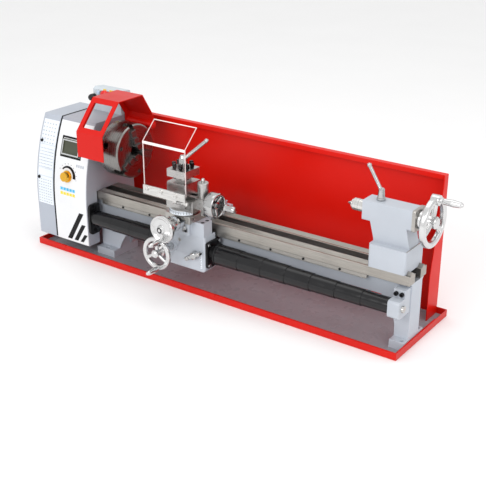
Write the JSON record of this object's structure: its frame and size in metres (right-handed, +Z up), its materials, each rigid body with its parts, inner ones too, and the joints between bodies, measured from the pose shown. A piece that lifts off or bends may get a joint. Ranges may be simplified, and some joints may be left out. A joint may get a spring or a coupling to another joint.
{
  "type": "metal lathe",
  "caption": "Bench metalworking lathe with bed, headstock, chuck, carriage, tailstock, guards and chip tray; all slides, wheels and levers move.",
  "frame": {"origin": "centre of the four bench bolt holes on the underside of the chip tray", "axes": "+X along the bed from headstock to tailstock, -Y towards the operator, +Z up"},
  "size_m": [1.045, 0.34, 0.3815],
  "materials": {
    "red_paint": "gloss",
    "red_guard": "gloss",
    "cast_paint": "satin",
    "panel_paint": "satin",
    "cover_paint": "satin",
    "machined_steel": "satin",
    "chuck_steel": "satin",
    "polished": "polished",
    "wheel_alloy": "polished",
    "alloy_plate": "satin",
    "gear_steel": "satin",
    "black_cover": "gloss",
    "black_steel": "satin",
    "screw_black": "black oxide",
    "belt_rubber": "matte",
    "control_grey": "satin",
    "screen": "gloss",
    "knob_gold": "gloss",
    "button_red": "gloss",
    "button_blue": "gloss",
    "button_black": "gloss",
    "clear_shield": "clear plastic",
    "motor_paint": "satin"
  },
  "bodies": {
    "machine": {"chip_tray": "red_paint", "back_panel": "red_paint", "bed": "cast_paint", "rack": "machined_steel", "fixed_screws": "screw_black", "headstock_housing": "cast_paint", "fascia_panel": "panel_paint", "display_unit": "screen", "spindle_bearings": "gear_steel", "motor_body": "motor_paint", "drive_belt": "belt_rubber", "banjo_plate": "alloy_plate", "leadscrew_flange": "black_steel", "tail_bracket": "cast_paint", "control_box": "control_grey", "left_cover": "black_cover", "right_cover": "black_cover"},
    "spindle": {"spindle": "machined_steel", "spindle_gear": "gear_steel", "chuck_backplate": "chuck_steel", "chuck_body": "chuck_steel", "chuck_pinions": "screw_black"},
    "jaw_1": {"jaw_1": "machined_steel"},
    "jaw_2": {"jaw_2": "machined_steel"},
    "jaw_3": {"jaw_3": "machined_steel"},
    "motor_rotor": {"motor_rotor": "gear_steel"},
    "idler_a": {"idler_gear_a": "gear_steel"},
    "idler_b": {"idler_gear_b": "gear_steel"},
    "leadscrew": {"leadscrew": "machined_steel", "leadscrew_gear": "gear_steel"},
    "gear_cover": {"gear_cover": "cover_paint", "cover_screws": "screw_black"},
    "speed_knob": {"speed_knob": "knob_gold"},
    "estop": {"estop_button": "button_red"},
    "start": {"start_button": "button_blue"},
    "stop": {"stop_button": "button_black"},
    "chuck_guard": {"chuck_guard": "red_guard"},
    "carriage": {"saddle": "cast_paint", "apron": "cast_paint", "apron_plate": "black_steel", "carriage_screws": "screw_black"},
    "rack_pinion": {"rack_pinion": "gear_steel"},
    "carriage_wheel": {"carriage_wheel": "wheel_alloy"},
    "half_nut_lever": {"half_nut_lever": "polished"},
    "cross_slide": {"cross_slide": "machined_steel"},
    "cross_wheel": {"cross_wheel": "wheel_alloy"},
    "compound": {"compound_base": "machined_steel"},
    "top_slide": {"top_slide": "machined_steel"},
    "top_wheel": {"top_wheel": "polished"},
    "tool_post": {"tool_post": "machined_steel", "tool_post_screws": "screw_black"},
    "post_lever": {"tool_post_lever": "polished"},
    "tool_guard": {"tool_guard": "clear_shield", "guard_strip": "alloy_plate"},
    "tailstock": {"tailstock": "cast_paint"},
    "quill": {"quill": "machined_steel"},
    "live_centre": {"live_centre": "machined_steel"},
    "tail_wheel": {"tail_wheel": "wheel_alloy"},
    "quill_lock": {"quill_lock": "polished"},
    "clamp_lever": {"clamp_lever": "polished"}
  },
  "joints": [
    {"name": "spindle_spin", "type": "hinge", "parent": "machine", "child": "spindle", "pos_m": [-0.4, 0, 0.263], "axis": [1, 0, 0], "continuous": true},
    {"name": "rotor_spin", "type": "hinge", "parent": "machine", "child": "motor_rotor", "pos_m": [-0.45, 0.047, 0.199], "axis": [1, 0, 0], "continuous": true},
    {"name": "idler_a_spin", "type": "hinge", "parent": "machine", "child": "idler_a", "pos_m": [-0.545, -0.00155, 0.20102], "axis": [1, 0, 0], "continuous": true},
    {"name": "idler_b_spin", "type": "hinge", "parent": "machine", "child": "idler_b", "pos_m": [-0.545, -0.03, 0.13488], "axis": [1, 0, 0], "continuous": true},
    {"name": "leadscrew_spin", "type": "hinge", "parent": "machine", "child": "leadscrew", "pos_m": [0, -0.054, 0.098], "axis": [1, 0, 0], "continuous": true},
    {"name": "jaw_1_slide", "type": "slide", "parent": "spindle", "child": "jaw_1", "axis": [0, -0.1736, 0.9848], "range_m": [0, 0.012]},
    {"name": "jaw_2_slide", "type": "slide", "parent": "spindle", "child": "jaw_2", "axis": [0, -0.766, -0.6428], "range_m": [0, 0.012]},
    {"name": "jaw_3_slide", "type": "slide", "parent": "spindle", "child": "jaw_3", "axis": [0, 0.9397, -0.342], "range_m": [0, 0.012]},
    {"name": "gear_cover_slide", "type": "slide", "parent": "machine", "child": "gear_cover", "axis": [-1, 0, 0], "range_m": [0, 0.09]},
    {"name": "speed_knob_turn", "type": "hinge", "parent": "machine", "child": "speed_knob", "pos_m": [-0.471, -0.06751, 0.19], "axis": [0, -0.9878, 0.1559], "range_deg": [0, 270]},
    {"name": "estop_press", "type": "slide", "parent": "machine", "child": "estop", "axis": [0, 1, 0], "range_m": [0, 0.005]},
    {"name": "start_press", "type": "slide", "parent": "machine", "child": "start", "axis": [0, 1, 0], "range_m": [0, 0.003], "stiffness_N_per_m": 200, "springref_m": -0.001},
    {"name": "stop_press", "type": "slide", "parent": "machine", "child": "stop", "axis": [0, 1, 0], "range_m": [0, 0.003], "stiffness_N_per_m": 200, "springref_m": -0.001},
    {"name": "chuck_guard_swing", "type": "hinge", "parent": "machine", "child": "chuck_guard", "pos_m": [-0.369, 0.08, 0.304], "axis": [-1, 0, 0], "range_deg": [0, 90]},
    {"name": "carriage_slide", "type": "slide", "parent": "machine", "child": "carriage", "axis": [1, 0, 0], "range_m": [-0.08, 0.12], "deforming": ["left_cover", "right_cover"]},
    {"name": "rack_pinion_spin", "type": "hinge", "parent": "carriage", "child": "rack_pinion", "pos_m": [-0.12914, -0.05, 0.1189], "axis": [0, 1, 0], "range_deg": [-627, 418]},
    {"name": "carriage_wheel_spin", "type": "hinge", "parent": "carriage", "child": "carriage_wheel", "pos_m": [-0.148, -0.1, 0.101], "axis": [0, 1, 0], "range_deg": [-939, 1408]},
    {"name": "half_nut_turn", "type": "hinge", "parent": "carriage", "child": "half_nut_lever", "pos_m": [-0.084, -0.08, 0.0952], "axis": [0, 1, 0], "range_deg": [-35, 0]},
    {"name": "cross_slide_feed", "type": "slide", "parent": "carriage", "child": "cross_slide", "axis": [0, 1, 0], "range_m": [-0.003, 0.04]},
    {"name": "cross_wheel_spin", "type": "hinge", "parent": "carriage", "child": "cross_wheel", "pos_m": [-0.116, -0.14, 0.1695], "axis": [0, 1, 0], "range_deg": [-3601, 271]},
    {"name": "compound_swivel", "type": "hinge", "parent": "cross_slide", "child": "compound", "pos_m": [-0.116, -0.072, 0.19], "axis": [0, 0, 1], "range_deg": [-10, 45]},
    {"name": "top_slide_feed", "type": "slide", "parent": "compound", "child": "top_slide", "axis": [1, 0, 0], "range_m": [-0.014, 0.006]},
    {"name": "top_wheel_spin", "type": "hinge", "parent": "compound", "child": "top_wheel", "pos_m": [-0.06, -0.072, 0.217], "axis": [1, 0, 0], "range_deg": [-1261, 541]},
    {"name": "tool_post_turn", "type": "hinge", "parent": "top_slide", "child": "tool_post", "pos_m": [-0.12, -0.07, 0.26], "axis": [0, 0, 1], "continuous": true},
    {"name": "post_lever_turn", "type": "hinge", "parent": "top_slide", "child": "post_lever", "pos_m": [-0.12, -0.07, 0.3], "axis": [0, 0, 1], "range_deg": [-60, 0]},
    {"name": "tool_guard_tip", "type": "hinge", "parent": "compound", "child": "tool_guard", "pos_m": [-0.092, -0.1135, 0.222], "axis": [1, 0, 0], "range_deg": [0, 90]},
    {"name": "tailstock_slide", "type": "slide", "parent": "machine", "child": "tailstock", "axis": [1, 0, 0], "range_m": [-0.12, 0.008]},
    {"name": "quill_feed", "type": "slide", "parent": "tailstock", "child": "quill", "axis": [-1, 0, 0], "range_m": [-0.018, 0.04]},
    {"name": "tail_wheel_spin", "type": "hinge", "parent": "tailstock", "child": "tail_wheel", "pos_m": [0.417, 0, 0.263], "axis": [1, 0, 0], "range_deg": [-3601, 1621]},
    {"name": "live_centre_spin", "type": "hinge", "parent": "quill", "child": "live_centre", "pos_m": [0.26, 0, 0.263], "axis": [1, 0, 0], "continuous": true},
    {"name": "quill_lock_turn", "type": "hinge", "parent": "tailstock", "child": "quill_lock", "pos_m": [0.308, 0, 0.3], "axis": [0, 0, 1], "range_deg": [-90, 0]},
    {"name": "clamp_lever_turn", "type": "hinge", "parent": "tailstock", "child": "clamp_lever", "pos_m": [0.366, 0.028, 0.234], "axis": [0, 1, 0], "range_deg": [-50, 0]}
  ],
  "couplings": [
    {"joint": "rotor_spin", "follows": "spindle_spin", "ratio": 1.8571},
    {"joint": "idler_a_spin", "follows": "spindle_spin", "ratio": -0.47619},
    {"joint": "idler_b_spin", "follows": "spindle_spin", "ratio": 0.66667},
    {"joint": "leadscrew_spin", "follows": "spindle_spin", "ratio": -1.4286},
    {"joint": "jaw_2_slide", "follows": "jaw_1_slide", "ratio": 1},
    {"joint": "jaw_3_slide", "follows": "jaw_1_slide", "ratio": 1},
    {"joint": "rack_pinion_spin", "follows": "carriage_slide", "rad_per_m": -90.909},
    {"joint": "carriage_wheel_spin", "follows": "carriage_slide", "rad_per_m": 204.55},
    {"joint": "cross_wheel_spin", "follows": "cross_slide_feed", "rad_per_m": -1570.8},
    {"joint": "top_wheel_spin", "follows": "top_slide_feed", "rad_per_m": 1570.8},
    {"joint": "tail_wheel_spin", "follows": "quill_feed", "rad_per_m": -1570.8}
  ]
}
